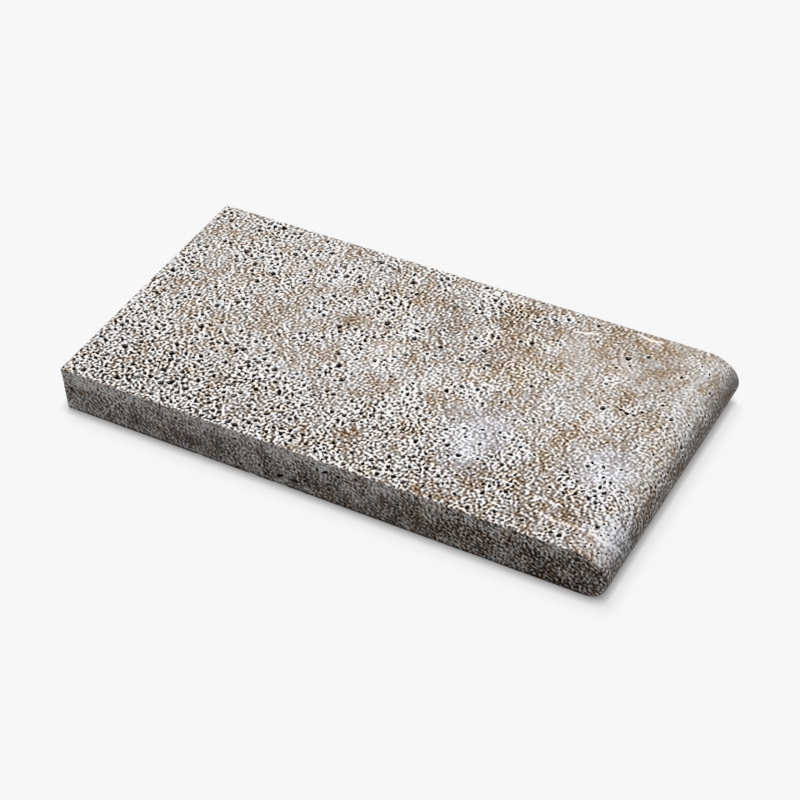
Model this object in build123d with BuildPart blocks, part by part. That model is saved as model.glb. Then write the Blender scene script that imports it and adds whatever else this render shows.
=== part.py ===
"""Pool coping stone: a sawn travertine slab whose one short end is worked round into the pool's nose."""
import os

from build123d import *

# Driving dimensions, in millimetres
length = 600.0  # from the back end to the tip of the nose
width = 305.0  # between the two joint faces
thickness = 52.0  # from the bed to the walking face

# Section of the nose, two quarter ellipses that meet upright at its tip
nose_tip_height = 24.0  # above the bed
nose_top_reach = 34.0  # from the tip back to where the walking face turns down
nose_bottom_reach = 26.0  # from the tip back to where the bed turns up

# Edges worn round by tumbling
corner_radius = 2.0  # on the two upright corners of the back end
arris_radius = 1.5  # round both joint faces and the back end

# Natural voids of the stone that the saw has opened, as troughs with round ends and sloping walls
void_depth = 3.2
void_taper = 12.0  # degrees by which the walls lean in
void_land = 1.0  # least flat stone between a void and the worn edges

# Voids of the walking face: x, y from the middle of the slab, length, width, turn in degrees
walking_face_voids = [
    (-292, -116, 4.5, 3.5, 20), (-292, -67, 4.5, 3.5, 0), (-288, -4, 4.5, 3.0, 70),
    (-288, -18, 4.5, 3.5, 40), (-282, 66, 4.0, 3.0, 30), (-286, -106, 4.0, 3.0, 80),
    (-276, -23, 4.5, 3.5, 60), (-268, 38, 6.0, 4.5, 15), (-268, -120, 5.0, 3.5, -15),
    (-267, -44, 4.5, 3.0, 70), (-254, -140, 5.5, 3.5, 75), (-244, -39, 6.5, 3.5, 0),
    (-240, 120, 4.0, 3.0, 10), (-222, 57, 4.0, 3.5, 30), (-220, 37, 4.0, 3.0, 0),
    (-210, 109, 4.5, 3.0, 70), (-190, -110, 4.0, 3.5, 0), (-188, -136, 4.0, 3.0, 20),
    (-186, 118, 5.0, 3.5, 10), (-150, -145, 5.5, 3.5, 5), (-145, -60, 4.0, 3.0, -30),
    (-119, -75, 5.0, 4.0, 0), (-106, -92, 6.5, 5.0, -40), (-103, 134, 4.5, 3.5, 10),
    (-101, -69, 5.0, 4.0, 30), (-98, -40, 4.0, 3.0, -20), (-94, -59, 5.0, 3.5, 75),
    (-90, -118, 5.5, 4.0, 30), (-83, -86, 9.0, 4.5, -60), (-82, -55, 5.0, 3.5, 20),
    (-72, -61, 4.0, 3.0, 60), (-60, 101, 5.0, 3.5, -50), (-48, 113, 4.0, 3.0, 60),
    (-43, -47, 4.0, 3.5, 0), (-37, -56, 4.0, 3.0, 50), (-31, -98, 6.0, 3.0, -10),
    (-27, 65, 4.0, 3.5, 20), (-22, 128, 4.5, 3.5, 60), (-16, 81, 4.5, 3.0, 15),
    (-12, -78, 4.5, 3.5, 40), (-8, 10, 7.0, 3.5, 5), (26, 43, 6.0, 4.5, 20),
    (59, -118, 6.5, 4.0, -30), (70, 96, 4.5, 3.5, 30), (88, -45, 4.5, 3.0, -20),
    (91, -122, 4.0, 3.5, 0), (103, -52, 4.5, 3.5, 30), (106, -139, 5.0, 3.5, 80),
    (107, -92, 4.5, 3.5, 0), (110, -62, 4.5, 3.5, 50), (120, -46, 4.5, 3.5, 10),
    (127, -112, 4.5, 3.5, 30), (132, 138, 4.5, 3.5, 70), (133, 30, 5.0, 4.0, 80),
    (133, -99, 4.0, 3.5, 0), (141, -104, 4.5, 3.0, 60), (143, -87, 4.5, 3.5, 20),
    (161, -111, 4.5, 3.5, -30), (195, 91, 4.0, 3.0, 0), (206, 99, 4.0, 3.0, 45),
    (211, -88, 4.5, 3.5, 0), (225, 37, 5.0, 3.5, 0), (241, 16, 4.0, 3.0, 20),
    (246, -140, 6.0, 4.5, 60), (258, 60, 4.5, 3.5, 0), (260, -38, 4.5, 3.0, 15),
]

# Voids of the near joint face, the one towards -Y: x from the middle of the slab, z above the bed, and the same
near_joint_face_voids = [
    (-290, 28, 7.0, 3.5, -35), (-162, 40, 5.5, 4.0, 50), (-103, 18, 4.5, 4.0, 60),
    (-93, 41, 4.5, 3.0, 30), (-91, 9, 5.5, 4.0, 40), (-68, 17, 5.0, 4.0, 50),
    (-62, 8, 5.0, 4.0, 80), (-46, 12, 10.5, 5.0, 35), (-35, 24, 7.0, 3.0, -5),
    (-29, 12, 15.0, 3.5, 4), (-27, 28, 4.5, 3.0, 70), (-17, 17, 5.5, 4.0, 30),
    (-15, 27, 11.0, 2.5, -18), (-5, 45, 5.5, 4.0, -20), (-1, 39, 4.5, 4.0, 30),
    (8, 39, 9.5, 4.0, 35), (10, 17, 6.5, 3.0, 10), (10, 24, 10.5, 3.0, 6),
    (22, 39, 6.0, 4.5, -15), (56, 12, 4.5, 3.0, 70), (103, 8, 5.0, 3.0, 0),
    (103, 22, 4.0, 3.0, 40), (140, 34, 5.0, 3.5, 30),
]

# Places along the stone that the section needs, with the origin under the middle of the slab
back_x = -length / 2
tip_x = length / 2
walking_face_end_x = tip_x - nose_top_reach
bed_end_x = tip_x - nose_bottom_reach
nose_top_rise = thickness - nose_tip_height

# Where voids may lie on each face, clear of its worn edges and of the nose
clear_of_back_x = back_x + max(corner_radius, arris_radius) + void_land
clear_of_nose_x = min(walking_face_end_x, bed_end_x) - void_land
clear_of_joint_y = width / 2 - arris_radius - void_land
lowest_void_z = arris_radius + void_land
highest_void_z = thickness - arris_radius - void_land

walking_face = Plane.XY.offset(thickness)
near_joint_face = Plane.XZ.offset(width / 2)

with BuildPart() as coping_stone:
    # The lengthwise section: flat bed, nose, flat walking face and square back end
    with BuildSketch(Plane.XZ):
        with BuildLine():
            Line((back_x, 0), (bed_end_x, 0))
            EllipticalCenterArc(
                (bed_end_x, nose_tip_height),
                x_radius=nose_bottom_reach,
                y_radius=nose_tip_height,
                start_angle=270,
                arc_size=90,
            )
            EllipticalCenterArc(
                (walking_face_end_x, nose_tip_height),
                x_radius=nose_top_reach,
                y_radius=nose_top_rise,
                start_angle=0,
                arc_size=90,
            )
            Line((walking_face_end_x, thickness), (back_x, thickness))
            Line((back_x, thickness), (back_x, 0))
        make_face()
    extrude(amount=width / 2, both=True)

    # The upright corners first, so that each face's edge then runs on round the back end unbroken
    fillet(coping_stone.edges().filter_by(Axis.Z).group_by(Axis.X)[0], radius=corner_radius)
    joint_faces = coping_stone.faces().filter_by(Axis.Y)
    back_end = coping_stone.faces().filter_by(Axis.X).sort_by(Axis.X)[0]
    upright_edges = coping_stone.edges().filter_by(Axis.Z)
    worn_edges = (joint_faces.edges() + back_end.edges()) - upright_edges
    fillet(worn_edges, radius=arris_radius)

    # A void that would break the edge of a smaller stone is left out of it
    for face, voids, lowest, highest in (
        (walking_face, walking_face_voids, -clear_of_joint_y, clear_of_joint_y),
        (near_joint_face, near_joint_face_voids, lowest_void_z, highest_void_z),
    ):
        with BuildSketch(face):
            for across, up, void_length, void_width, turn in voids:
                reach = void_length / 2
                clear_lengthwise = clear_of_back_x + reach <= across <= clear_of_nose_x - reach
                clear_crosswise = lowest + reach <= up <= highest - reach
                if clear_lengthwise and clear_crosswise:
                    with Locations((across, up)):
                        SlotOverall(void_length, void_width, rotation=turn)
    extrude(amount=-void_depth, taper=void_taper, mode=Mode.SUBTRACT)

coping_stone.part.label = "coping_stone"

os.makedirs("parts", exist_ok=True)
export_step(coping_stone.part, "parts/coping_stone.step")
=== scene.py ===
"""Pool coping stone of unfilled travertine, seen from above one long side.

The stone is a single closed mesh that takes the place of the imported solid. Its section runs round the
bed, the nose, the walking face and the back end, and is laid out flat as sheets of points in which each
natural pit is rings of points pressed into the surface. Rounded strips join the sheets to the two joint
faces.
"""
import math

import bpy
import numpy as np
from mathutils import Matrix, Vector, geometry, noise


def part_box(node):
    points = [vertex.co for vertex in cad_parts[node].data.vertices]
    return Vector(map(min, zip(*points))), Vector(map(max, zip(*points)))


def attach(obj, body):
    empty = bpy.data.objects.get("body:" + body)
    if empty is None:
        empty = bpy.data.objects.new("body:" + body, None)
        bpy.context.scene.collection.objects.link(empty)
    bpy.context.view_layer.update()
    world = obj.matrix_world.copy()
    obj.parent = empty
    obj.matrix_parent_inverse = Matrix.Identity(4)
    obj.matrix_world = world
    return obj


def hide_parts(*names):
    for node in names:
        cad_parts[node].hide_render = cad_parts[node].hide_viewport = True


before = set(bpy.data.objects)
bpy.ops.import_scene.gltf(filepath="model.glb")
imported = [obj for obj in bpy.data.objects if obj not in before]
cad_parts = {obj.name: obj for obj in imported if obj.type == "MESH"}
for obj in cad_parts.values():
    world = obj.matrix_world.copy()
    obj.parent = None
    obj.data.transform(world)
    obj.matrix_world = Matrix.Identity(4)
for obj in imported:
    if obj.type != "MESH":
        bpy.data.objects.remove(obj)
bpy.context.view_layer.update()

# Sizes of the stone, in millimetres, with the origin under the middle of the slab
MM = 0.001
box_low, box_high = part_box("coping_stone")
LENGTH = (box_high.x - box_low.x) / MM
WIDTH = (box_high.y - box_low.y) / MM
THICKNESS = (box_high.z - box_low.z) / MM
NOSE_TIP_HEIGHT = 24.0
NOSE_TOP_REACH = 34.0
NOSE_BOTTOM_REACH = 26.0
ARRIS = 1.5
VOID_DEPTH = 3.2

BACK_X = -LENGTH / 2
WALKING_END_X = LENGTH / 2 - NOSE_TOP_REACH
BED_END_X = LENGTH / 2 - NOSE_BOTTOM_REACH
NOSE_TOP_RISE = THICKNESS - NOSE_TIP_HEIGHT
SHEET_HALF = WIDTH / 2 - ARRIS

# Spacing of the mesh's points, in millimetres
WALKING_PITCH = 3.0
SIDE_PITCH = 2.6
HIDDEN_PITCH = 4.5
BED_PITCH = 8.0
ARRIS_PITCH = 0.8
CROSS_PITCH = 3.0  # of the points that neighbouring sheets share
SAME_PLACE = 1e-6  # below which two points of a flat layout are one
MERGE_GRID = 1e-4  # on which points that two sheets share are matched

# Steps round the curved stretches of the section
NOSE_UNDER_STEPS = 16
NOSE_OVER_STEPS = 22
ARRIS_STEPS = 3

PIT_MARGIN = 0.7  # least plain stone round a pit or vein

# Rings of a pit, as shares of its outline and of its depth
RIM_GAP = 1.0  # millimetres between the points of a rim
FEWEST_IN_RIM = 7
MOST_IN_RIM = 24
WALL_REACH = 0.9
WALL_DEPTH = 0.7
FLOOR_REACH = 0.35
MIDDLE_DEPTH = 1.05
NO_FLOOR_RING = 9  # a rim of so few points has none
OUTLINE_REACH = 1.3  # how far an irregular outline may pass its oval
WINDOW_REACH = 1.45  # the same for the cells that are looked at

# The attribute "pit": below 0 the stone is paler than its surroundings, above 0 it takes a pit's painted
# shade, nearly black
PALE_RIM = -1.0
PALE_VEIN = -1.5
INSIDE = 1.0

rng = np.random.default_rng(7)


def ease(value, start, end):
    """Smooth step from 0 at start to 1 at end."""
    t = np.clip((value - start) / (end - start), 0.0, 1.0)
    return t * t * (3 - 2 * t)


def noise_at(points, period, shift=0.0):
    """Smooth noise of about -1 to 1, whose lumps are about as far apart as the period in millimetres."""
    offset = Vector((shift, -2.3 * shift, 1.7 * shift))
    return np.array([noise.noise(Vector(p) / period + offset) for p in points])


def porous(points):
    """How porous each place is, 0 to 1: in patches that grow towards the near side and back end."""
    x, y, z = np.asarray(points).T
    likely = 0.4 * ease(-y, 10, 90) + 0.12 * ease(-x, 60, 260) - 0.34 * ease(x, 40, 220) - 0.2
    likely += 0.22 * ease(-x, 215, 275) * ease(-y, -60, 10)
    patches = noise_at(points, 26.0, 41.0) + 0.5 * noise_at(points, 12.0, 47.0)
    return ease(patches + likely, -0.16, 0.16)


# The lengthwise section, as a path from the middle of the bed round the nose

def straight(start, end, pitch):
    """Stations along a straight stretch of the section: x, z, outward normal x, z."""
    count = max(1, math.ceil(math.dist(start, end) / pitch))
    t = np.linspace(0, 1, count + 1)
    step_x, step_z = ((b - a) / math.dist(start, end) for a, b in zip(start, end))
    x = start[0] + (end[0] - start[0]) * t
    z = start[1] + (end[1] - start[1]) * t
    return np.column_stack([x, z, np.full_like(t, step_z), np.full_like(t, -step_x)])


def quarter(centre, reach_x, reach_z, start_degrees, count):
    """Stations along a quarter of an ellipse, anticlockwise."""
    angle = np.radians(np.linspace(start_degrees, start_degrees + 90, count + 1))
    x = centre[0] + reach_x * np.cos(angle)
    z = centre[1] + reach_z * np.sin(angle)
    normal = np.column_stack([np.cos(angle) / reach_x, np.sin(angle) / reach_z])
    normal /= np.linalg.norm(normal, axis=1)[:, None]
    return np.column_stack([x, z, normal])


STRETCHES = {
    "bed_front": straight((0, 0), (BED_END_X, 0), BED_PITCH / 2),
    "nose_under": quarter(
        (BED_END_X, NOSE_TIP_HEIGHT), NOSE_BOTTOM_REACH, NOSE_TIP_HEIGHT, -90, NOSE_UNDER_STEPS,
    ),
    "nose_over": quarter(
        (WALKING_END_X, NOSE_TIP_HEIGHT), NOSE_TOP_REACH, NOSE_TOP_RISE, 0, NOSE_OVER_STEPS,
    ),
    "walking": straight((WALKING_END_X, THICKNESS), (BACK_X + ARRIS, THICKNESS), WALKING_PITCH),
    "back_arris": quarter((BACK_X + ARRIS, THICKNESS - ARRIS), ARRIS, ARRIS, 90, ARRIS_STEPS),
    "back": straight((BACK_X, THICKNESS - ARRIS), (BACK_X, ARRIS), SIDE_PITCH),
    "bed_arris": quarter((BACK_X + ARRIS, ARRIS), ARRIS, ARRIS, 180, ARRIS_STEPS),
    "bed_back": straight((BACK_X + ARRIS, 0), (0, 0), BED_PITCH / 2),
}


def join_stretches():
    """All stations in one row, their running length, and each stretch's first and last station."""
    rows = []
    ends = {}
    first = 0
    for name, stations in STRETCHES.items():
        ends[name] = (first, first + len(stations) - 1)
        first += len(stations) - 1
        rows.append(stations[:-1])
    rows.append(stations[-1:])
    section = np.vstack(rows)
    running = np.concatenate([[0], np.cumsum(np.hypot(*np.diff(section[:, :2], axis=0).T))])
    return section, running, ends


section, section_s, stretch_ends = join_stretches()
WALKING_START = section_s[stretch_ends["walking"][0]]


def on_section(s):
    """Place and outward normal of running lengths s round the section."""
    x, z, nx, nz = (np.interp(s, section_s, section[:, i]) for i in range(4))
    size = np.hypot(nx, nz)
    return x, z, nx / size, nz / size


def section_inset(x, z):
    """How far a place lies inside the section, 0 on its outline."""
    over = np.hypot((x - WALKING_END_X) / NOSE_TOP_REACH, (z - NOSE_TIP_HEIGHT) / NOSE_TOP_RISE)
    under = np.hypot((x - BED_END_X) / NOSE_BOTTOM_REACH, (z - NOSE_TIP_HEIGHT) / NOSE_TIP_HEIGHT)
    top_gap = np.where(x > WALKING_END_X, (1 - over) * NOSE_TOP_RISE, THICKNESS - z)
    bed_gap = np.where(x > BED_END_X, (1 - under) * NOSE_TIP_HEIGHT, z)
    return np.minimum(np.where(z > NOSE_TIP_HEIGHT, top_gap, bed_gap), x - BACK_X)


# Wear: how far the surface lies inside the sawn shape

# Bites out of the near joint face's edges: x, z, radius, depth
NEAR_BITES = [
    (-8, 52, 3.2, 2.0), (-32, 52, 2.6, 1.6), (-140, 0, 2.4, 1.6), (-78, 0, 2.6, 1.8),
    (-50, 0, 2.2, 1.5), (-42, 0, 2.4, 1.6), (95, 52, 2.6, 1.0), (-188, 52, 2.8, 1.0),
    (180, 52, 3.0, 1.2), (-255, 52, 2.4, 0.9),
]


def edge_distance(points):
    """Distance along the surface from the nearest worn edge."""
    x, y, z = points.T
    beside_joint = (WIDTH / 2 - np.abs(y)) + np.maximum(section_inset(x, z), 0)
    beside_back = (x - BACK_X) + np.minimum(z, THICKNESS - z)
    return np.maximum(0, np.minimum(beside_joint, beside_back))


def wear(points):
    """Depth in millimetres to which each point has worn below the sawn shape."""
    broad = 0.1 * (1 + noise_at(points, 55.0))
    dents = 0.1 * (1 + noise_at(points, 8.0, 3.0))
    chips = 0.9 * np.clip(noise_at(points, 16.0, 5.0) - 0.15, 0, None)
    crumbs = 0.5 * np.clip(noise_at(points, 5.0, 8.0), 0, None)
    worn = broad + dents + np.exp(-edge_distance(points) / 1.6) * (0.05 + chips + crumbs)
    for x, z, radius, depth in NEAR_BITES:
        away = np.linalg.norm(points - (x, -WIDTH / 2, z), axis=1)
        worn += depth * np.exp(-(away / radius) ** 2)
    return worn


# Pits: rings of points pressed into a sheet

class Sheet:
    """One stretch of surface laid out flat, in millimetres, to be filled with pits and plain points."""

    CELL = 0.25  # of the grid that keeps which places are taken
    VEIN_PITCH = 1.6

    def __init__(self, outline, low, high):
        self.low = np.array(low, float)
        self.high = np.array(high, float)
        shape = np.ceil((self.high - self.low) / self.CELL).astype(int) + 1
        self.taken = np.zeros(shape, bool)
        self.points = []
        self.depths = []
        self.pits = []
        self.edges = []
        self.count = 0
        self.add_points(np.asarray(outline, float))

    def window(self, centre, reach):
        """The cells round a place, and their offsets from it."""
        start = np.maximum(((centre - reach - self.low) / self.CELL).astype(int), 0)
        stop = np.minimum(((centre + reach - self.low) / self.CELL).astype(int) + 2, self.taken.shape)
        cells = np.stack(np.meshgrid(*(np.arange(a, b) for a, b in zip(start, stop)), indexing="ij"), -1)
        return tuple(slice(a, b) for a, b in zip(start, stop)), self.low + cells * self.CELL - centre

    def add_points(self, points, depth=0.0, pit=0.0, closed=False):
        """Points at one depth, joined up as a ring if closed."""
        self.points.append(points)
        self.depths.append(np.full(len(points), depth))
        self.pits.append(np.full(len(points), pit))
        if closed:
            index = np.arange(self.count, self.count + len(points))
            self.edges.extend(zip(index.tolist(), np.roll(index, -1).tolist()))
        self.count += len(points)

    def add_pit(self, centre, half_long, half_wide, turn, depth, margin=PIT_MARGIN):
        """Presses in one irregular pit, unless it would meet another or the sheet's edge."""
        centre = np.asarray(centre, float)
        phases = rng.uniform(0, 2 * math.pi, 3)
        lumps = rng.uniform(0.03, 0.1, 3)

        def radius(angle):
            oval = half_long * half_wide / np.hypot(half_wide * np.cos(angle), half_long * np.sin(angle))
            waves = zip((2, 3, 5), lumps, phases)
            return oval * (1 + sum(size * np.cos(k * angle + phase) for k, size, phase in waves))

        along = np.array([half_long * math.cos(turn), half_long * math.sin(turn)])
        extent = OUTLINE_REACH * np.hypot(along, half_wide) + margin
        if np.any(centre - extent < self.low) or np.any(centre + extent > self.high):
            return
        place, offset = self.window(centre, half_long * WINDOW_REACH + margin)
        angle = np.arctan2(offset[..., 1], offset[..., 0]) - turn
        covered = np.hypot(offset[..., 0], offset[..., 1]) < radius(angle) + margin
        if np.any(self.taken[place] & covered):
            return
        self.taken[place] |= covered
        count = round(math.pi * (half_long + half_wide) / RIM_GAP)
        count = int(np.clip(count, FEWEST_IN_RIM, MOST_IN_RIM))
        spread_out = np.linspace(0, 2 * math.pi, count, endpoint=False) + rng.uniform(0, 1)
        spin = np.arctan2(half_wide * np.sin(spread_out), half_long * np.cos(spread_out))
        rim = np.column_stack([np.cos(spin + turn), np.sin(spin + turn)]) * radius(spin)[:, None]
        self.add_points(centre + rim, 0.0, PALE_RIM, closed=True)
        self.add_points(centre + rim * WALL_REACH, WALL_DEPTH * depth, INSIDE, closed=True)
        if count > NO_FLOOR_RING:
            self.add_points(centre + rim[::2] * FLOOR_REACH, depth, INSIDE, closed=True)
        self.add_points(centre[None], MIDDLE_DEPTH * depth, INSIDE)

    def add_vein(self, route, width):
        """Lays a pale vein along a route, as rows of points with a plain row on each side."""
        corners = np.asarray(route, float)
        steps = np.diff(corners, axis=0)
        running = np.concatenate([[0], np.cumsum(np.hypot(*steps.T))])
        at = np.arange(0, running[-1], self.VEIN_PITCH)
        line = np.column_stack([np.interp(at, running, corners[:, i]) for i in (0, 1)])
        line += rng.uniform(-0.4, 0.4, line.shape)
        sideways = steps[np.searchsorted(running[1:-1], at, side="right")] @ [[0, 1], [-1, 0]]
        sideways /= np.hypot(*sideways.T)[:, None]
        reach = width / 2 + PIT_MARGIN
        kept = []
        covers = []
        for i in np.flatnonzero(np.all((line > self.low + reach) & (line < self.high - reach), axis=1)):
            place, offset = self.window(line[i], reach)
            cover = np.hypot(offset[..., 0], offset[..., 1]) < reach
            if not np.any(self.taken[place] & cover):
                kept.append(i)
                covers.append((place, cover))
        for place, cover in covers:
            self.taken[place] |= cover
        for side in (-0.5, -0.25, 0.0, 0.25, 0.5):
            pit = PALE_VEIN if abs(side) < 0.5 else 0.0
            self.add_points(line[kept] + side * width * sideways[kept], 0.0, pit)

    def fill(self, pitch, jitter=0.3):
        """Plain points on a shaken triangular grid, wherever there is no pit."""
        grid = []
        rows = np.arange(self.low[1] + 0.8 * pitch, self.high[1] - 0.5 * pitch, pitch * math.sqrt(0.75))
        for i, v in enumerate(rows):
            s = np.arange(self.low[0] + (0.7 + 0.5 * (i % 2)) * pitch, self.high[0] - 0.5 * pitch, pitch)
            grid.append(np.column_stack([s, np.full_like(s, v)]))
        grid = np.vstack(grid)
        grid += rng.uniform(-jitter, jitter, grid.shape) * pitch
        cell = ((grid - self.low) / self.CELL).round().astype(int)
        cell = np.clip(cell, 0, np.array(self.taken.shape) - 1)
        self.add_points(grid[~self.taken[cell[:, 0], cell[:, 1]]])

    def triangles(self):
        """Flat points, depths, pit values and triangles of the finished sheet."""
        points = np.vstack(self.points)
        found = geometry.delaunay_2d_cdt([Vector(p) for p in points], self.edges, [], 0, SAME_PLACE)
        if len(found[0]) != len(points):
            raise ValueError(f"a sheet of {len(points)} points came back with {len(found[0])}")
        order = [source[0] for source in found[3]]
        faces = [[order[i] for i in face] for face in found[2]]
        return points, np.concatenate(self.depths), np.concatenate(self.pits), faces


PIT_TURNS = (208, 208, 95)  # degrees in a sheet, about which the longer pits lie, the first twice as often


def scatter(sheet, tries, density, least, usual, most, deepness=(0.8, 1.4), slim=0.68):
    """Tries pits at random places; density is each place's chance, and the sizes are half lengths."""
    for _ in range(tries):
        centre = rng.uniform(sheet.low, sheet.high)
        if rng.uniform() > density(*centre):
            continue
        half_long = min(least + rng.exponential(usual), most)
        half_wide = half_long * rng.uniform(slim, 1.0)
        turn = math.radians(rng.choice(PIT_TURNS) + rng.normal(0, 20))
        sheet.add_pit(centre, half_long, half_wide, turn, 2 * half_wide * rng.uniform(*deepness))


def wrap_sheet(name):
    """An empty sheet for one stretch of the section, with the points that it shares with its neighbours."""
    first, last = stretch_ends[name]
    stations = section_s[first:last + 1]
    cross_count = round(2 * SHEET_HALF / CROSS_PITCH)
    cross = np.linspace(-SHEET_HALF, SHEET_HALF, cross_count + 1)[1:-1]
    outline = np.vstack([
        np.column_stack([stations, np.full_like(stations, -SHEET_HALF)]),
        np.column_stack([np.full_like(cross, stations[-1]), cross]),
        np.column_stack([stations[::-1], np.full_like(stations, SHEET_HALF)]),
        np.column_stack([np.full_like(cross, stations[0]), cross[::-1]]),
    ])
    return Sheet(outline, (stations[0], -SHEET_HALF), (stations[-1], SHEET_HALF))


mesh_parts = []


def lay(points, normals, depths, pits, faces, unrolled):
    """Puts a finished stretch in the mesh, worn and pitted along its normals; unrolled is its flat layout."""
    worn = points - normals * (wear(points) + depths)[:, None]
    mesh_parts.append((worn, normals, pits, faces, unrolled))


def unrolled_x(s):
    """A running length as a distance along the slab: x on the walking face, and onwards round both ends."""
    return WALKING_END_X + WALKING_START - s


def unrolled_y(side, z):
    """A height on a joint face as a distance across the slab, onwards over its upper edge."""
    return side * (WIDTH / 2 + THICKNESS - z)


def lay_wrap(sheet):
    """Wraps a sheet round the section. Its faces come out turned inwards, so they are reversed."""
    flat, depths, pits, faces = sheet.triangles()
    x, z, nx, nz = on_section(flat[:, 0])
    points = np.column_stack([x, flat[:, 1], z])
    normals = np.column_stack([nx, np.zeros_like(nx), nz])
    unrolled = np.column_stack([unrolled_x(flat[:, 0]), flat[:, 1]])
    lay(points, normals, depths, pits, [face[::-1] for face in faces], unrolled)


# The solid's voids of the walking face: x, y, length, width, turn in degrees. Most of the x and y began as
# a measuring script's list of the photo's largest dark spots.
WALKING_VOIDS = [
    (-292, -116, 4.5, 3.5, 20), (-292, -67, 4.5, 3.5, 0), (-288, -4, 4.5, 3.0, 70),
    (-288, -18, 4.5, 3.5, 40), (-282, 66, 4.0, 3.0, 30), (-286, -106, 4.0, 3.0, 80),
    (-276, -23, 4.5, 3.5, 60), (-268, 38, 6.0, 4.5, 15), (-268, -120, 5.0, 3.5, -15),
    (-267, -44, 4.5, 3.0, 70), (-254, -140, 5.5, 3.5, 75), (-244, -39, 6.5, 3.5, 0),
    (-240, 120, 4.0, 3.0, 10), (-222, 57, 4.0, 3.5, 30), (-220, 37, 4.0, 3.0, 0),
    (-210, 109, 4.5, 3.0, 70), (-190, -110, 4.0, 3.5, 0), (-188, -136, 4.0, 3.0, 20),
    (-186, 118, 5.0, 3.5, 10), (-150, -145, 5.5, 3.5, 5), (-145, -60, 4.0, 3.0, -30),
    (-119, -75, 5.0, 4.0, 0), (-106, -92, 6.5, 5.0, -40), (-103, 134, 4.5, 3.5, 10),
    (-101, -69, 5.0, 4.0, 30), (-98, -40, 4.0, 3.0, -20), (-94, -59, 5.0, 3.5, 75),
    (-90, -118, 5.5, 4.0, 30), (-83, -86, 9.0, 4.5, -60), (-82, -55, 5.0, 3.5, 20),
    (-72, -61, 4.0, 3.0, 60), (-60, 101, 5.0, 3.5, -50), (-48, 113, 4.0, 3.0, 60),
    (-43, -47, 4.0, 3.5, 0), (-37, -56, 4.0, 3.0, 50), (-31, -98, 6.0, 3.0, -10),
    (-27, 65, 4.0, 3.5, 20), (-22, 128, 4.5, 3.5, 60), (-16, 81, 4.5, 3.0, 15),
    (-12, -78, 4.5, 3.5, 40), (-8, 10, 7.0, 3.5, 5), (26, 43, 6.0, 4.5, 20),
    (59, -118, 6.5, 4.0, -30), (70, 96, 4.5, 3.5, 30), (88, -45, 4.5, 3.0, -20),
    (91, -122, 4.0, 3.5, 0), (103, -52, 4.5, 3.5, 30), (106, -139, 5.0, 3.5, 80),
    (107, -92, 4.5, 3.5, 0), (110, -62, 4.5, 3.5, 50), (120, -46, 4.5, 3.5, 10),
    (127, -112, 4.5, 3.5, 30), (132, 138, 4.5, 3.5, 70), (133, 30, 5.0, 4.0, 80),
    (133, -99, 4.0, 3.5, 0), (141, -104, 4.5, 3.0, 60), (143, -87, 4.5, 3.5, 20),
    (161, -111, 4.5, 3.5, -30), (195, 91, 4.0, 3.0, 0), (206, 99, 4.0, 3.0, 45),
    (211, -88, 4.5, 3.5, 0), (225, 37, 5.0, 3.5, 0), (241, 16, 4.0, 3.0, 20),
    (246, -140, 6.0, 4.5, 60), (258, 60, 4.5, 3.5, 0), (260, -38, 4.5, 3.0, 15),
]


TOP_VEIN_WIDTH = 3.6

# Pale veins that cross the walking face and run on over the nose: x, y along each
TOP_VEINS = [
    [
        (214, -122), (236, -125), (252, -124), (273, -125), (283, -127), (294, -121), (300, -116),
    ],
    [(36, 144), (50, 141), (65, 141), (72, 144)],
    [(137, 123), (148, 126), (158, 130)],
    [(196, 146), (209, 143), (222, 145)],
    [(200, -108), (214, -104), (228, -107)],
]


# Smaller pits that stand out on the nose, by its near corner and along the far edge: the same five values
TOP_PITS = [
    (291.7, -76.5, 3.4, 2.6, 0), (296.5, -91.5, 3.0, 2.4, 0), (283.5, -116, 3.2, 2.6, 30),
    (278.7, -121.5, 3.0, 2.4, 0), (260, -108, 3.4, 2.8, 20), (259, -115, 3.2, 2.6, 0),
    (250, -130.5, 3.4, 2.8, 0), (259.5, -132, 3.2, 2.6, 40), (272.5, -141.5, 3.4, 2.6, 0),
    (285, -140, 3.2, 2.4, 60), (290.5, -134.5, 3.0, 2.4, 0), (293.5, -143, 3.0, 2.4, 0),
    (289.6, -88, 3.2, 2.6, 0), (259.5, -144, 3.4, 2.6, 0), (126.5, 146, 3.0, 2.4, 0),
    (146.5, 141.5, 3.4, 2.6, 20), (86.5, 139, 3.4, 2.6, 0), (228, -134, 3.2, 2.6, 0),
    (234, -142, 3.4, 2.4, 60),
]


def upper_station(x):
    """Running length of a place on the walking face or the upper part of the nose."""
    first, last = stretch_ends["nose_over"][0], stretch_ends["walking"][1]
    return np.interp(-x, -section[first:last + 1, 0], section_s[first:last + 1])


def add_top_pits(sheet):
    for x, y, length, width, turn in TOP_PITS:
        sheet.add_pit((upper_station(x), y), length / 2, width / 2, math.radians(180 - turn), width)


def add_top_veins(sheet):
    for route in TOP_VEINS:
        sheet.add_vein([(upper_station(x), y) for x, y in route], TOP_VEIN_WIDTH)


def walking_density(s, y):
    """Close together in porous patches, and few elsewhere."""
    x = unrolled_x(s)
    return 0.03 + 0.97 * porous([(x, y, THICKNESS)])[0]


def back_density(s, y):
    """The same towards the back end only, where the larger pits lie."""
    return walking_density(s, y) * ease(-unrolled_x(s), -40, 120)


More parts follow.
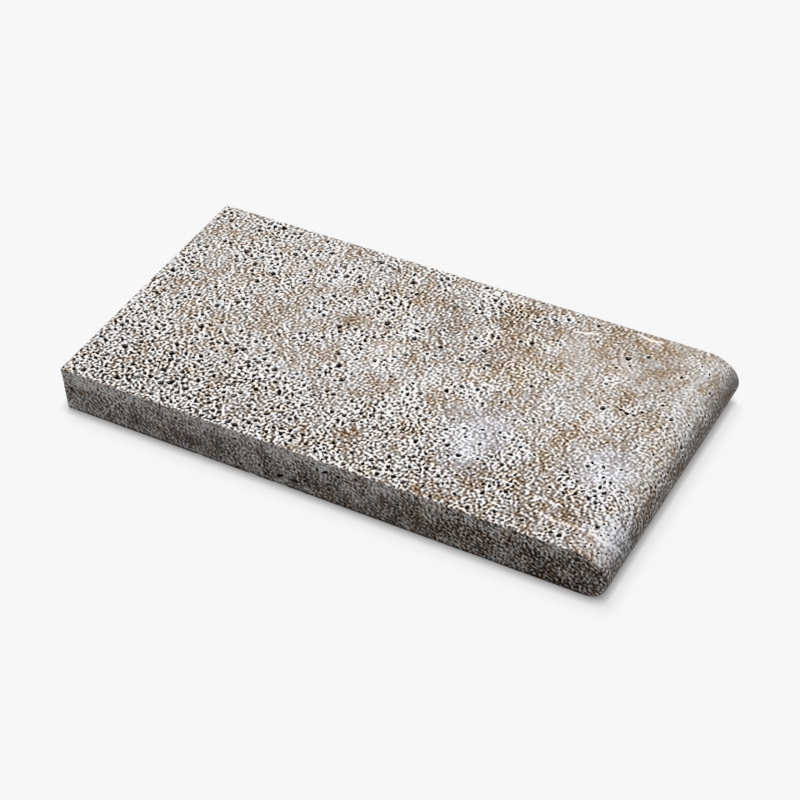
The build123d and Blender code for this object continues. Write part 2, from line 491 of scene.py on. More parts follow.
def make_walking_face():
    sheet = wrap_sheet("walking")
    for x, y, length, width, turn in WALKING_VOIDS:
        sheet.add_pit((upper_station(x), y), length / 2, width / 2, math.radians(180 - turn), VOID_DEPTH)
    add_top_pits(sheet)
    add_top_veins(sheet)
    scatter(sheet, 1500, back_density, least=2.5, usual=0.4, most=3.8, slim=0.6)
    scatter(sheet, 2600, walking_density, least=2.1, usual=0.35, most=3.2, slim=0.6)
    sheet.fill(WALKING_PITCH)
    lay_wrap(sheet)


def end_density(s, y):
    """Twice as many towards the near side."""
    return 0.5 + 0.5 * ease(-y, 0, 120)


def make_nose_and_back():
    for name, tries in (("nose_under", 110), ("nose_over", 240), ("back", 240)):
        sheet = wrap_sheet(name)
        if name == "nose_over":
            add_top_pits(sheet)
            add_top_veins(sheet)
        scatter(sheet, tries, end_density, least=0.95, usual=0.45, most=2.8)
        sheet.fill(SIDE_PITCH)
        lay_wrap(sheet)
    for name in ("back_arris", "bed_arris"):
        sheet = wrap_sheet(name)
        sheet.fill(ARRIS_PITCH, jitter=0.0)
        lay_wrap(sheet)


def make_bed():
    for name in ("bed_front", "bed_back"):
        sheet = wrap_sheet(name)
        scatter(sheet, 260, lambda s, y: 1.0, least=1.4, usual=1.0, most=4.5, deepness=(0.5, 0.9))
        sheet.fill(BED_PITCH)
        lay_wrap(sheet)


# The solid's voids of the near joint face: x, z, length, width, turn in degrees
NEAR_VOIDS = [
    (-290, 28, 7.0, 3.5, -35), (-162, 40, 5.5, 4.0, 50), (-103, 18, 4.5, 4.0, 60),
    (-93, 41, 4.5, 3.0, 30), (-91, 9, 5.5, 4.0, 40), (-68, 17, 5.0, 4.0, 50),
    (-62, 8, 5.0, 4.0, 80), (-46, 12, 10.5, 5.0, 35), (-35, 24, 7.0, 3.0, -5),
    (-29, 12, 15.0, 3.5, 4), (-27, 28, 4.5, 3.0, 70), (-17, 17, 5.5, 4.0, 30),
    (-15, 27, 11.0, 2.5, -18), (-5, 45, 5.5, 4.0, -20), (-1, 39, 4.5, 4.0, 30),
    (8, 39, 9.5, 4.0, 35), (10, 17, 6.5, 3.0, 10), (10, 24, 10.5, 3.0, 6),
    (22, 39, 6.0, 4.5, -15), (56, 12, 4.5, 3.0, 70), (103, 8, 5.0, 3.0, 0),
    (103, 22, 4.0, 3.0, 40), (140, 34, 5.0, 3.5, 30),
]
# Smaller ones beside them
NEAR_PITS = [
    (-84, 12, 3.4, 2.8, 0), (-70, 45, 4.0, 3.2, 20), (-38, 18, 3.6, 3.0, 0), (3, 47, 3.4, 2.6, 0),
    (14, 34.5, 3.8, 3.0, 40), (7, 8, 4.2, 3.6, 0), (80, 18, 3.4, 2.8, 0), (86, 27, 3.2, 2.8, 0),
    (142, 20, 3.6, 2.8, 0), (-22, 6, 3.6, 2.8, 30), (-55, 26, 3.2, 2.6, 60), (30, 30, 3.2, 2.6, 20),
    (-52, 38, 3.4, 2.8, 0), (-38, 34, 3.2, 2.6, 40), (24, 22, 3.4, 2.6, 0), (34, 14, 3.2, 2.6, 0),
    (-20, 22.5, 3.6, 3.0, 0), (-31, 32, 3.4, 2.8, 40), (-9, 34, 3.8, 3.0, 0), (-2, 26, 3.6, 2.8, 20),
    (2, 12, 3.8, 3.0, 0), (-24, 39, 3.4, 2.8, 0), (-55, 16, 3.8, 3.0, 30), (-13, 44, 4.0, 3.0, -30),
]
# Narrow ones side by side near the back end
NEAR_SLOTS = [
    (-263.5, 21.5, 9.0, 2.4, -50), (-258.3, 24.5, 11.0, 2.8, -50), (-252.8, 27, 11.5, 3.2, -50),
    (-247.2, 30, 9.5, 3.0, -50), (-241.5, 33.5, 8.0, 2.4, -48), (-269, 31, 7.0, 2.2, -50),
    (-263.8, 34, 7.0, 2.2, -50),
]
SLOT_DEPTH = 1.6
SLOT_MARGIN = 0.4
FACE_MARGIN = 1.0  # least plain stone between a joint face's pits and its edge strip
NEAR_VEIN_WIDTH = 2.8

# Pale veins of the near joint face: x, z along each
NEAR_VEINS = [
    [(-258, 1), (-252, 10), (-245, 20), (-233, 33), (-218, 41)],
    [(-50, 4), (-40, 8), (-28, 9), (-14, 7), (-4, 2)],
]


def near_density(x, z):
    """More pits in two clusters and towards the nose."""
    cluster = math.exp(-((x + 20) / 55) ** 2) + 0.5 * math.exp(-((x + 80) / 40) ** 2)
    return 0.06 + 0.75 * cluster + 0.42 * ease(x, 60, 170)


def make_joint_face(side, voids, slots, veins, tries, density, pitch):
    """One joint face, side -1 near and 1 far, inside the strip that rounds its edge."""
    outline = section[:-1, :2] - ARRIS * section[:-1, 2:]
    outline = outline[np.hypot(*(outline - np.roll(outline, 1, axis=0)).T) > SAME_PLACE]
    sheet = Sheet(outline, outline.min(0), outline.max(0))
    cells = [sheet.low[i] + np.arange(sheet.taken.shape[i]) * sheet.CELL for i in (0, 1)]
    # The corners of the sheet's box lie outside the face
    sheet.taken |= section_inset(*np.meshgrid(*cells, indexing="ij")) < ARRIS + FACE_MARGIN
    for x, z, length, width, turn in voids:
        sheet.add_pit((x, z), length / 2, width / 2, math.radians(turn), VOID_DEPTH)
    for x, z, length, width, turn in slots:
        sheet.add_pit((x, z), length / 2, width / 2, math.radians(turn), SLOT_DEPTH, SLOT_MARGIN)
    for route in veins:
        sheet.add_vein(route, NEAR_VEIN_WIDTH)
    scatter(sheet, tries, density, least=0.8, usual=0.5, most=3.0)
    sheet.fill(pitch)
    flat, depths, pit_values, faces = sheet.triangles()
    points = np.column_stack([flat[:, 0], np.full(len(flat), side * WIDTH / 2), flat[:, 1]])
    normals = np.tile([0.0, side, 0.0], (len(flat), 1))
    unrolled = np.column_stack([flat[:, 0], unrolled_y(side, flat[:, 1])])
    if side > 0:
        faces = [face[::-1] for face in faces]
    lay(points, normals, depths, pit_values, faces, unrolled)


def make_edge_strip(side):
    """The rounded edge between the wrapped sheets and one joint face."""
    turns = np.radians([0, 30, 60, 90])
    x, z, nx, nz = section.T
    count = len(section)
    rows = []
    normals = []
    unrolled = []
    for turn in turns:
        inner = ARRIS * (1 - math.cos(turn))
        y = np.full_like(x, side * (SHEET_HALF + ARRIS * math.sin(turn)))
        rows.append(np.column_stack([x - nx * inner, y, z - nz * inner]))
        if turn < math.pi / 4:
            unrolled.append(np.column_stack([unrolled_x(section_s), y]))
        else:
            unrolled.append(np.column_stack([x, unrolled_y(side, z)]))
        sideways = np.full_like(x, side * math.sin(turn))
        normals.append(np.column_stack([nx * math.cos(turn), sideways, nz * math.cos(turn)]))
    faces = []
    for row in range(len(turns) - 1):
        for i in range(count - 1):
            a, b = row * count + i, (row + 1) * count + i
            quad = (a, a + 1, b + 1, b) if side < 0 else (a, b, b + 1, a + 1)
            faces += [quad[:3], (quad[0], quad[2], quad[3])]
    flat = np.zeros(count * len(turns))
    lay(np.vstack(rows), np.vstack(normals), flat, flat, faces, np.vstack(unrolled))


make_walking_face()
make_nose_and_back()
make_bed()
make_joint_face(
    -1, NEAR_VOIDS + NEAR_PITS, NEAR_SLOTS, NEAR_VEINS, tries=420, density=near_density, pitch=SIDE_PITCH,
)
make_joint_face(1, [], [], [], tries=220, density=lambda x, z: 0.6, pitch=HIDDEN_PITCH)
make_edge_strip(-1)
make_edge_strip(1)


# Stains, as soft spots of the walking face and the nose: x, y, reach x, reach y, strength
OCHRE = [
    (72, 120, 26, 24, 1.0), (80, 85, 30, 26, 0.6), (105, 50, 24, 32, 0.7), (175, 125, 34, 24, 0.45),
    (215, 135, 26, 16, 0.55), (150, 60, 16, 16, 0.5), (130, 85, 16, 14, 0.35), (42, -12, 16, 18, 0.5),
    (55, -75, 18, 16, 0.6), (160, -35, 13, 11, 0.9), (190, -25, 17, 13, 0.55), (185, -55, 13, 14, 0.5),
    (25, -78, 14, 10, 0.3), (-200, -35, 16, 28, 0.45), (-235, -5, 22, 14, 0.3), (-30, 80, 10, 24, 0.3),
    (85, 25, 20, 18, 0.5), (122, 28, 12, 20, 0.5), (-55, 115, 12, 16, 0.3), (100, 142, 24, 10, 0.5),
    (-80, 35, 16, 18, 0.6), (-115, -20, 24, 16, 0.4), (-140, -93, 18, 9, 0.4), (172, -85, 14, 16, 0.5),
    (178, -108, 10, 7, 0.8), (150, -115, 9, 9, 0.7), (230, -85, 10, 8, 0.7), (240, -112, 12, 9, 0.7),
    (115, -140, 24, 10, 0.7), (165, -140, 18, 9, 0.5), (225, 37, 8, 9, 0.8), (45, 30, 12, 9, 0.6),
    (-270, 115, 12, 20, 0.3), (-205, -72, 8, 12, 0.5), (-192, -45, 8, 14, 0.5), (-275, 12, 9, 8, 0.3),
]
DARK = [
    (-80, 35, 14, 16, 0.8), (-115, -20, 24, 16, 0.3), (-180, 0, 9, 6, 0.6), (-192, -45, 8, 14, 0.4),
    (-205, -72, 8, 12, 0.8), (-140, -93, 18, 9, 0.9), (-255, -145, 12, 10, 0.9), (-140, -145, 14, 8, 0.8),
    (-180, -125, 12, 10, 0.5), (-50, -72, 10, 8, 0.6), (10, -70, 16, 14, 0.5), (55, -78, 12, 10, 0.6),
    (85, -105, 12, 16, 0.5), (95, -125, 10, 10, 0.5), (172, -85, 14, 18, 0.7), (178, -108, 10, 7, 1.0),
    (150, -115, 9, 9, 0.9), (230, -85, 10, 8, 0.9), (240, -112, 12, 9, 0.9), (115, -140, 24, 10, 0.8),
    (165, -140, 18, 9, 0.7), (205, -130, 16, 9, 0.6), (225, 37, 8, 9, 0.8), (45, 30, 12, 9, 0.6),
    (135, 16, 7, 7, 0.6), (-150, 28, 9, 8, 0.5), (-275, 12, 9, 8, 0.7), (-60, -135, 16, 10, 0.4),
    (-95, -130, 18, 12, 0.4), (-215, -100, 14, 9, 0.4), (-130, 75, 10, 8, 0.3), (-180, 70, 9, 7, 0.4),
    (10, 105, 9, 9, 0.9), (20, 65, 13, 13, 0.9), (105, 125, 15, 14, 0.7), (-297, -70, 8, 12, 1.0),
    (-75, 130, 14, 12, 0.4), (30, 40, 14, 10, 0.4), (70, 60, 14, 10, 0.5), (-285, -90, 14, 16, 0.4),
    (72, 118, 30, 28, 1.0), (160, -38, 10, 9, 0.7), (185, -55, 11, 12, 0.3), (-297, 85, 6, 12, 0.7),
    (18, 82, 20, 34, 0.5), (85, 60, 28, 34, 0.55), (190, 122, 44, 24, 0.3),
    (-245, 0, 50, 40, 0.15), (-240, -110, 60, 36, 0.2),
]
PALE = [
    (-145, 130, 9, 26, 0.9), (-122, 95, 5, 28, 0.9), (-170, 90, 16, 12, 0.7), (-225, 40, 22, 12, 0.6),
    (-20, 10, 18, 24, 1.15), (200, 90, 22, 20, 0.8), (185, 40, 18, 16, 0.5), (-270, 80, 12, 22, 0.5),
    (-15, 60, 10, 24, 0.5), (255, 130, 12, 14, 0.6), (130, -35, 8, 7, 1.0), (70, 80, 12, 8, 0.5),
    (75, 30, 8, 8, 0.5), (155, 20, 8, 20, 0.6), (255, 100, 10, 10, 0.5), (-185, 145, 20, 10, 0.4),
    (-80, 105, 10, 14, 0.4), (-90, 60, 12, 14, 0.3), (-215, -70, 10, 16, 0.5), (-70, -95, 22, 12, 0.4),
    (-100, -55, 26, 14, 0.5), (205, 0, 20, 10, 0.3), (260, 15, 8, 14, 0.6), (54, 142, 8, 3, 1.0),
    (209, 143, 8, 3, 1.0), (120, -60, 30, 44, 1.1), (250, -45, 24, 36, 1.25), (240, -126, 22, 5, 0.6),
    (270, -130, 18, 5, 0.6), (286, -122, 16, 24, 1.0), (155, 100, 32, 26, 0.4), (185, 72, 36, 36, 0.4),
    (-170, 100, 44, 44, 0.35), (205, 20, 36, 30, 0.5), (60, 0, 24, 30, 0.15),
]
LAVENDER = [
    (120, -60, 40, 52, 0.9), (250, -45, 32, 40, 0.95), (-175, -72, 16, 14, 0.5), (-80, -58, 26, 10, 0.4),
    (250, 0, 16, 18, 0.4), (220, -60, 14, 16, 0.4), (85, -35, 12, 12, 0.4), (-60, -118, 14, 10, 0.5),
    (-270, -85, 14, 12, 0.3), (-270, 35, 10, 12, 0.3), (175, 45, 12, 20, 0.3), (200, -105, 16, 10, 0.3),
    (260, -115, 8, 16, 0.4), (-110, 135, 14, 20, 0.25), (-245, 60, 14, 20, 0.2), (290, -112, 18, 32, 0.9),
]
# The same on the near joint face: x, z, reach x, reach z, strength
NEAR_OCHRE = [
    (-268, 33, 18, 9, 0.8), (-12, 25, 16, 7, 0.7), (0, 12, 24, 10, 0.3),
    (115, 30, 26, 14, 0.4), (150, 20, 30, 16, 0.5), (200, 30, 34, 16, 0.5), (250, 18, 30, 16, 0.8),
    (272, 40, 20, 12, 0.7), (225, 45, 20, 8, 0.4), (40, 46, 20, 5, 0.4),
]
NEAR_DARK = [
    (-275, 22, 20, 10, 0.3), (-165, 12, 34, 9, 0.3), (-12, 25, 18, 8, 0.5), (-45, 14, 16, 8, 0.5),
    (0, 12, 20, 8, 0.3), (250, 14, 34, 12, 0.5), (150, 20, 22, 9, 0.3), (200, 26, 18, 9, 0.3),
]
NEAR_PALE = [
    (-245, 28, 8, 16, 0.7), (-238, 12, 14, 8, 0.4), (12, 40, 14, 8, 0.7), (-35, 6, 26, 4, 0.6),
    (245, 38, 6, 4, 0.6), (262, 38, 6, 4, 0.6), (-110, 44, 30, 6, 0.3), (-292, 44, 10, 10, 0.4),
]


def spread(across, up, spots):
    """How strongly each place is stained by a list of soft-edged spots."""
    total = np.zeros_like(across)
    for x, y, reach_x, reach_y, strength in spots:
        away = np.hypot((across - x) / reach_x, (up - y) / reach_y)
        total = np.maximum(total, strength * (1 - ease(away, 0.35, 1.35)))
    return total


def joint_level(x, y, z, joint, near):
    """What the joint faces add to the lightness, in display levels: painted light and shade, and some tone
    along their length.
    """
    # Painted light and shade: paler under the upper edge and again along the bed, darker between; also paler
    # towards the back end
    level = joint * (56 * ease(z, 30, 47) - 36 - 14 * ease(z, 47, 50) + 24 * ease(12 - z, 0, 6) - x / 15)
    level -= near * (3 + 6 * ease(x, 20, 120) - 3 * ease(x, 240, 280))
    level += near * (12 * ease(-x, 250, 280) - 14 * ease(x, 140, 240) * ease(z, 20, 40))
    # Painted shade along the upper edge of the far side
    return level - 40 * joint * (y > 0) * ease(z, 30, 47)


def end_level(x, z, backward, joint, nose):
    """What the nose and the back end add, all of it painted light and shade, backward being how far a place
    faces the back.
    """
    # Painted light and shade on the nose: paler where it begins, and darker towards the bed
    level = 8 * (1 - joint) * ease(x, WALKING_END_X - 8, WALKING_END_X + 4)
    level += nose * (9 * ease(z, 42, 46) - 24 * ease(48 - z, 0, 14) - 9 * np.exp(-((z - 35) / 4) ** 2))
    # Painted shade: the nose's underside and a thin band along the foot of every face are made nearly black
    level -= 110 * ease(20 - z, 0, 7) * (1 - joint) * (x > BED_END_X) + 110 * ease(3 - z, 0, 2)
    # Painted shade along the upper edge of the back end
    return level - 45 * ease(backward, 0.1, 0.8) * ease(z, 40, 46)


def contrast(x, y, z, top, near, pores, lavender, steep):
    """How far the speckle swings, in display levels."""
    calm = ease(x, 20, 170) * ease(y, -20, 90)
    busy = 45 + 4 * ease(-y, 0, 110) + 3 * ease(-x, 100, 250) - 10 * top * calm
    busy -= 13 * top * ease(x, 170, 230) * ease(y, 40, 90)
    corner = ease(x, 255, 275) * ease(-y, 85, 110)
    smooth = 0.34 - 0.48 * pores + 0.3 * lavender + 0.35 * corner + 0.25 * steep
    busy -= 14 * top * (1 - ease(np.hypot((x - 152) / 34, (y - 100) / 32), 0.4, 1.3))
    busy *= 1 - top * np.minimum(smooth, 0.58)
    lively = 4 * np.exp(-((x + 15) / 50) ** 2) + 12 * ease(x, 60, 160) - 6 * ease(28 - z, 0, 10)
    busy -= near * (22 - lively)
    return busy - 24 * (1 - top - near) * ease(z, 1, 4)


def complexion(points, normals):
    """Lightness and contrast of each point in display levels, and its ochre, lavender and streaks."""
    sway = 5.0 * np.column_stack([noise_at(points, 14.0, shift) for shift in (11.0, 17.0)])
    broken = 0.85 + 0.5 * noise_at(points, 7.0, 23.0)
    clouds = noise_at(points, 26.0, 31.0)
    mottle = noise_at(points, 11.0, 37.0)
    tinge = noise_at(points, 13.0, 53.0)
    pores = porous(points)
    x, y, z = points.T
    joint = np.abs(normals[:, 1]) ** 2
    near = joint * (y < 0)
    top = ease(z, NOSE_TIP_HEIGHT, NOSE_TIP_HEIGHT + 10) * (1 - joint) * ease(x, BACK_X, BACK_X + 3)
    unseen = 1 - top - near
    nose = (1 - joint) * ease(x, WALKING_END_X, WALKING_END_X + 10)
    steep = nose * ease(45 - z, 0, 10)
    over = (x + sway[:, 0], y + sway[:, 1])
    beside = (x + sway[:, 0], z + 0.6 * sway[:, 1])

    dark = top * spread(*over, DARK) + near * spread(*beside, NEAR_DARK) + unseen * np.clip(-clouds, 0, 1)
    pale = top * spread(*over, PALE) + near * spread(*beside, NEAR_PALE)
    lavender = top * spread(*over, LAVENDER)
    ochre = top * spread(*over, OCHRE) + 0.6 * near * spread(*beside, NEAR_OCHRE)
    ochre = 0.9 * ochre * broken + 0.22 - 0.2 * top * (pores - 0.5)
    near_tinge = 0.5 * tinge - 0.08 - 0.12 * ease(-x, -40, 100)
    ochre += (1 - near) * (0.75 * mottle + 0.55 * clouds) + near * near_tinge
    ochre -= 0.2 * steep
    striated = near * np.exp(-((x + 254) / 15) ** 2 - ((z - 30) / 10) ** 2)

    level = 176 - (1 + near) * (22 * clouds + 32 * mottle) - 42 * dark * broken + 24 * pale
    level += 24 * top * (pores - 0.35)
    level -= 20 * top * ease(-y, 20, 140)
    level += joint_level(x, y, z, joint, near)
    level += end_level(x, z, -normals[:, 0], joint, nose)
    level -= 12 * striated
    busy = contrast(x, y, z, top, near, pores, lavender, steep)
    return {"level": level, "ochre": ochre, "lavender": lavender, "busy": busy, "striated": striated}


SPECKLE_SHIFT = (-31.2, 41.6)  # millimetres, which picks the part of the speckle's pattern that shows
SHARP_ANGLE = math.radians(40)


def make_stone_mesh():
    """One closed mesh of all the sheets and strips, with its stains and painted light and shade as attributes
    of its points.
    """
    part_verts, part_normals, part_pits, part_faces, part_unrolled = zip(*mesh_parts)
    starts = np.cumsum([0] + [len(points) for points in part_verts])
    verts = np.vstack(part_verts)
    normals = np.vstack(part_normals)
    pits = np.concatenate(part_pits)
    unrolled = np.vstack(part_unrolled)
    # Points that two parts share come out at the same place, and are made one
    places = np.round(verts / MERGE_GRID).astype(np.int64)
    _, first_of, merged = np.unique(places, axis=0, return_index=True, return_inverse=True)
    merged = merged.ravel()
    faces = []
    for start, triangles in zip(starts, part_faces):
        joined = (tuple(merged[start + i] for i in triangle) for triangle in triangles)
        faces += [face for face in joined if len(set(face)) == 3]
    verts, normals, pits = verts[first_of], normals[first_of], pits[first_of]
    mesh = bpy.data.meshes.new("travertine_slab")
    mesh.from_pydata((verts * MM).tolist(), [], faces)
    for name, values in {"pit": pits, **complexion(verts, normals)}.items():
        mesh.attributes.new(name, "FLOAT", "POINT").data.foreach_set("value", values.astype(np.float32))
    flat = np.column_stack([unrolled[first_of] + SPECKLE_SHIFT, np.zeros(len(verts))]) * MM
    layout = mesh.attributes.new("unrolled", "FLOAT_VECTOR", "POINT")
    layout.data.foreach_set("vector", flat.astype(np.float32).ravel())
    mesh.polygons.foreach_set("use_smooth", [True] * len(mesh.polygons))
    mesh.set_sharp_from_angle(angle=SHARP_ANGLE)
    return mesh


# Material

def srgb(red, green, blue):
    """A colour of 0 to 255 display levels as the linear colour that a shader takes."""
    values = [v / 255 for v in (red, green, blue)]
    return tuple(v / 12.92 if v <= 0.04045 else ((v + 0.055) / 1.055) ** 2.4 for v in values)


class Nodes:
    """Short ways to build a node tree."""

    def __init__(self, name):
        self.material = bpy.data.materials.new(name)
        self.material.use_nodes = True
        self.tree = self.material.node_tree
        self.tree.nodes.clear()

    def node(self, kind, inputs=None, **settings):
        made = self.tree.nodes.new(kind)
        for key, value in settings.items():
            setattr(made, key, value)
        for key, value in (inputs or {}).items():
            if isinstance(value, bpy.types.NodeSocket):
                self.tree.links.new(value, made.inputs[key])
            else:
                made.inputs[key].default_value = value
        return made

    def attribute(self, name):
        return self.node("ShaderNodeAttribute", attribute_name=name).outputs["Fac"]

    def math(self, operation, a, b=0.0, c=0.0, clamp=False):
        made = self.node("ShaderNodeMath", {0: a, 1: b, 2: c}, operation=operation, use_clamp=clamp)
        return made.outputs[0]

    def remap(self, value, low, high, to_low=0.0, to_high=1.0):
        inputs = {"Value": value, "From Min": low, "From Max": high, "To Min": to_low, "To Max": to_high}
        return self.node("ShaderNodeMapRange", inputs).outputs[0]

    def ripples(self, where, direction_degrees, spacing, straightness=0.6):
        """Noise about 0 whose crests lie roughly across one direction, at a spacing in metres."""
        inputs = {
            "Vector": where,
            "Scale": 1 / (spacing * RIPPLE_RUN),
            "Frequency": RIPPLE_RUN,
            "Anisotropy": straightness,
            "Orientation": math.radians(direction_degrees),
        }
        made = self.node("ShaderNodeTexGabor", inputs)
        return self.math("SUBTRACT", made.outputs["Value"], 0.5)

    def ramp(self, value, stops):
        """A colour ramp over display levels of 0 to 255, from stops of level and colour."""
        made = self.node("ShaderNodeValToRGB", {"Fac": self.remap(value, 0, 255)})
        elements = made.color_ramp.elements
        for _ in range(len(stops) - 2):
            elements.new(0.5)
        for element, (level, colour) in zip(elements, stops):
            element.position = level / 255
            element.color = (*srgb(*colour), 1)
        return made.outputs[0]

    def mix(self, amount, a, b):
        made = self.node("ShaderNodeMix", data_type="RGBA")
        for socket, value in ((made.inputs[0], amount), (made.inputs[6], a), (made.inputs[7], b)):
            if isinstance(value, bpy.types.NodeSocket):
                self.tree.links.new(value, socket)
            else:
                socket.default_value = value
        return made.outputs[2]


NEUTRAL_STONE = [
    (10, (19, 10, 6)), (60, (70, 58, 50)), (100, (109, 99, 91)), (140, (147, 139, 133)),
    (180, (185, 180, 175)), (220, (222, 220, 218)), (252, (251, 251, 250)),
]
OCHRE_STONE = [
    (10, (26, 10, 3)), (60, (82, 57, 34)), (100, (120, 98, 72)), (140, (158, 137, 113)),
    (180, (195, 178, 158)), (220, (230, 219, 204)), (252, (253, 250, 243)),
]
LAVENDER_STONE = [
    (10, (12, 10, 12)), (60, (62, 59, 60)), (100, (103, 99, 100)), (140, (142, 139, 141)),
    (180, (181, 179, 183)), (220, (219, 218, 223)), (252, (249, 250, 253)),
]
# Painted shade: the near-black colour given to the inside of every pit, standing in for its shadow
PIT_SHADE_COLOUR = (18, 9, 4)
# Waves of speckle in the flat layout: direction in degrees, metres between crests, share
RIPPLES = [(-12, 0.0048, 1.05), (72, 0.0048, 1.05), (30, 0.0080, 0.5)]
RIPPLE_RUN = 1.3  # crests that keep together
RELIEF = 0.0006  # metres by which the palest grains stand above the darkest
RIPPLE_STRENGTH = 12.5  # display levels of swing for each level of contrast
TROUGH_SHARE = 0.68  # how far the speckle's dark side goes, set against its pale side
BLOTCH_SIZE = 0.0095  # metres, of the faint blotches that are browner and darker
BLOTCH_BROWN = 0.34
BLOTCH_DARKNESS = 14.0  # display levels
BLOTCH_FULL = 42.0  # contrast from which the blotches are at their strongest
STREAKS = (41.3, 0.0036)  # round the near face's slots: direction in degrees, metres between crests
STREAK_STRENGTH = 240.0  # display levels
STREAK_STRAIGHTNESS = 0.9
PALENESS = 60.0  # display levels by which a point with a pit value of -1 is paler
ROUGHNESS = (0.92, 0.78)  # of dark and of pale stone


def travertine():
    """Matt stone whose speckle swings about each place's lightness, painted light and shade included."""
    build = Nodes("travertine")
    where = build.node("ShaderNodeAttribute", attribute_name="unrolled").outputs["Vector"]
    swing = 0.0
    for direction, spacing, share in RIPPLES:
        wave = build.ripples(where, direction, spacing)
        swing = build.math("MULTIPLY_ADD", wave, share * RIPPLE_STRENGTH, swing)
    swing = build.math("MULTIPLY", swing, build.attribute("busy"))
    swing = build.math("MAXIMUM", swing, build.math("MULTIPLY", swing, TROUGH_SHARE))
    blotches = build.node("ShaderNodeTexNoise", {"Vector": where, "Scale": 1 / BLOTCH_SIZE, "Detail": 1.0})
    blotch = build.remap(blotches.outputs["Fac"], 0.3, 0.7, -1, 1)
    blotch = build.math("MULTIPLY", blotch, build.remap(build.attribute("busy"), 0, BLOTCH_FULL))
    streaks = build.ripples(where, *STREAKS, straightness=STREAK_STRAIGHTNESS)
    streaks = build.math("MULTIPLY", streaks, STREAK_STRENGTH)
    level = build.math("ADD", build.attribute("level"), swing)
    level = build.math("MULTIPLY_ADD", streaks, build.attribute("striated"), level)
    level = build.math("MULTIPLY_ADD", blotch, -BLOTCH_DARKNESS, level)
    pit = build.attribute("pit")
    level = build.math("ADD", level, build.remap(pit, -2, 0, 2 * PALENESS, 0))
    neutral = build.ramp(level, NEUTRAL_STONE)
    ochre = build.math("MULTIPLY_ADD", blotch, BLOTCH_BROWN, build.attribute("ochre"))
    lavender = build.math("MULTIPLY_ADD", blotch, -BLOTCH_BROWN, build.attribute("lavender"))
    colour = build.mix(ochre, neutral, build.ramp(level, OCHRE_STONE))
    colour = build.mix(lavender, colour, build.ramp(level, LAVENDER_STONE))
    # Painted shade: the inside of each pit is made near-black
    colour = build.mix(build.remap(pit, 0.0, 0.3), colour, (*srgb(*PIT_SHADE_COLOUR), 1))
    relief = build.node("ShaderNodeBump", {"Height": build.remap(level, 0, 255), "Distance": RELIEF})
    inputs = {
        "Base Color": colour,
        "Roughness": build.remap(level, 60, 240, *ROUGHNESS),
        "Specular IOR Level": 0.2,
        "Normal": relief.outputs[0],
    }
    shader = build.node("ShaderNodeBsdfPrincipled", inputs).outputs[0]
    build.node("ShaderNodeOutputMaterial", {"Surface": shader})
    return build.material


stone_mesh = make_stone_mesh()
stone_mesh.materials.append(travertine())
stone = bpy.data.objects.new("travertine_slab", stone_mesh)
bpy.context.scene.collection.objects.link(stone)
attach(stone, "root")
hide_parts("coping_stone")


# Floor, light and camera

BACKDROP = (*srgb(247, 247, 247), 1)
FLOOR_BOUNCE = (0.4, 0.4, 0.4, 1)
FLOOR_GLOW = 0.82  # share of the seen floor's white that shadows don't darken
FLOOR_HALF = 30.0  # metres
CONTACT_REACH = 0.011  # metres from the stone within which the floor's own white fades
CONTACT_POWER = 1.4
CONTACT_SHADE = (0.05, 0.05, 0.05, 1)


def floor_material():
    """White where it is seen, and darker to the light that it throws back on the stone."""
    build = Nodes("floor")
    path = build.node("ShaderNodeLightPath").outputs
    seen = build.math("ADD", path["Is Camera Ray"], path["Is Glossy Ray"])
    seen = build.math("ADD", seen, path["Is Transmission Ray"], clamp=True)
    lit = build.node("ShaderNodeBsdfDiffuse", {"Color": build.mix(seen, FLOOR_BOUNCE, BACKDROP)}).outputs[0]
    corner = build.node("ShaderNodeAmbientOcclusion", {"Distance": CONTACT_REACH}, samples=8).outputs["AO"]
    corner = build.math("POWER", corner, CONTACT_POWER)
    shade = build.mix(corner, CONTACT_SHADE, BACKDROP)
    glow = build.node("ShaderNodeEmission", {"Color": shade}).outputs[0]
    share = build.math("MULTIPLY", seen, FLOOR_GLOW)
    both = build.node("ShaderNodeMixShader", {0: share, 1: lit, 2: glow}).outputs[0]
    build.node("ShaderNodeOutputMaterial", {"Surface": both})
    return build.material


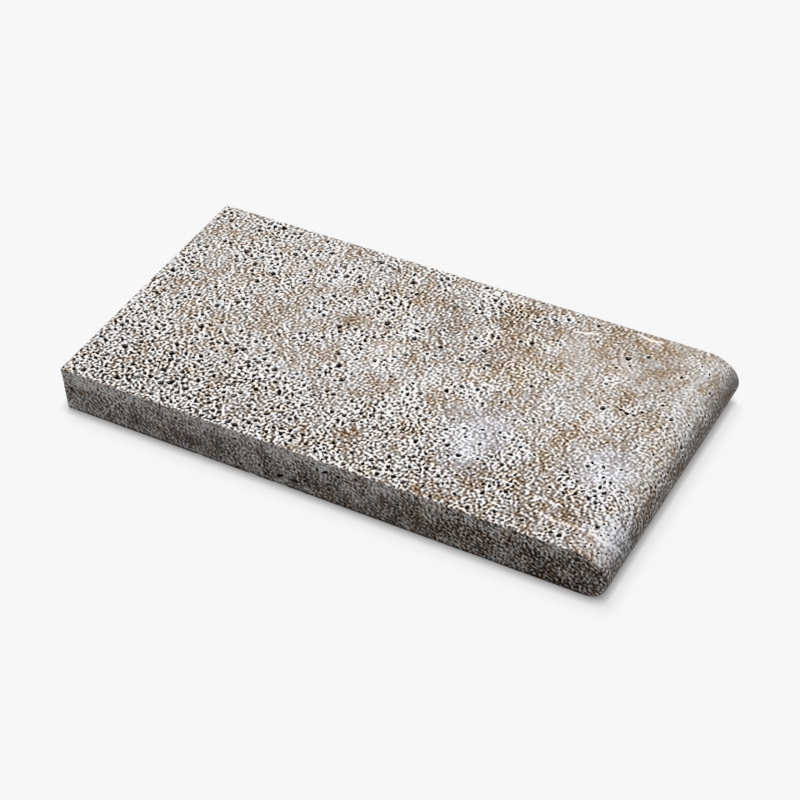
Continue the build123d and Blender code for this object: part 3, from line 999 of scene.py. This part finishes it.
def make_floor():
    corners = [(x * FLOOR_HALF, y * FLOOR_HALF, 0) for x, y in ((-1, -1), (1, -1), (1, 1), (-1, 1))]
    mesh = bpy.data.meshes.new("floor")
    mesh.from_pydata(corners, [], [(0, 1, 2, 3)])
    mesh.materials.append(floor_material())
    floor = bpy.data.objects.new("floor", mesh)
    bpy.context.scene.collection.objects.link(floor)


SUN_FROM = Vector((-0.25, 0.25, 0.93)).normalized()
SUN_WIDTH = math.radians(22)
SKY_SHARE = 0.2


def make_light():
    """A broad lamp high behind the back end, and a faint even sky that the camera sees as the backdrop."""
    lamp = bpy.data.lights.new("lamp", "SUN")
    lamp.energy = math.pi * (1 - SKY_SHARE) / SUN_FROM.z
    lamp.angle = SUN_WIDTH
    holder = bpy.data.objects.new("lamp", lamp)
    holder.rotation_euler = SUN_FROM.to_track_quat("Z", "Y").to_euler()
    bpy.context.scene.collection.objects.link(holder)

    world = bpy.data.worlds.new("studio")
    bpy.context.scene.world = world
    world.use_nodes = True
    nodes, links = world.node_tree.nodes, world.node_tree.links
    sky = nodes["Background"]
    sky.inputs["Color"].default_value = BACKDROP
    path = nodes.new("ShaderNodeLightPath")
    strength = nodes.new("ShaderNodeMapRange")
    strength.inputs["To Min"].default_value = SKY_SHARE
    strength.inputs["To Max"].default_value = 1.0
    links.new(path.outputs["Is Camera Ray"], strength.inputs["Value"])
    links.new(strength.outputs[0], sky.inputs["Strength"])


# The camera's place and axes, as a measuring script solved them from the stone's outline in the photo
CAMERA_PLACE = Vector((0.81224, -1.29907, 1.36030))
CAMERA_RIGHT = Vector((0.86997, 0.49051, -0.05055))
CAMERA_DOWN = Vector((0.29279, -0.59632, -0.74745))
FOCAL_PIXELS = 2045.0
IMAGE_PIXELS = 800


def make_camera():
    data = bpy.data.cameras.new("camera")
    data.sensor_width = 36.0
    data.lens = FOCAL_PIXELS / IMAGE_PIXELS * data.sensor_width
    camera = bpy.data.objects.new("camera", data)
    axes = Matrix((CAMERA_RIGHT, -CAMERA_DOWN, CAMERA_DOWN.cross(CAMERA_RIGHT))).transposed()
    camera.matrix_world = Matrix.Translation(CAMERA_PLACE) @ axes.to_4x4()
    bpy.context.scene.collection.objects.link(camera)
    bpy.context.scene.camera = camera


make_floor()
make_light()
make_camera()
bpy.context.scene.view_settings.view_transform = "Standard"
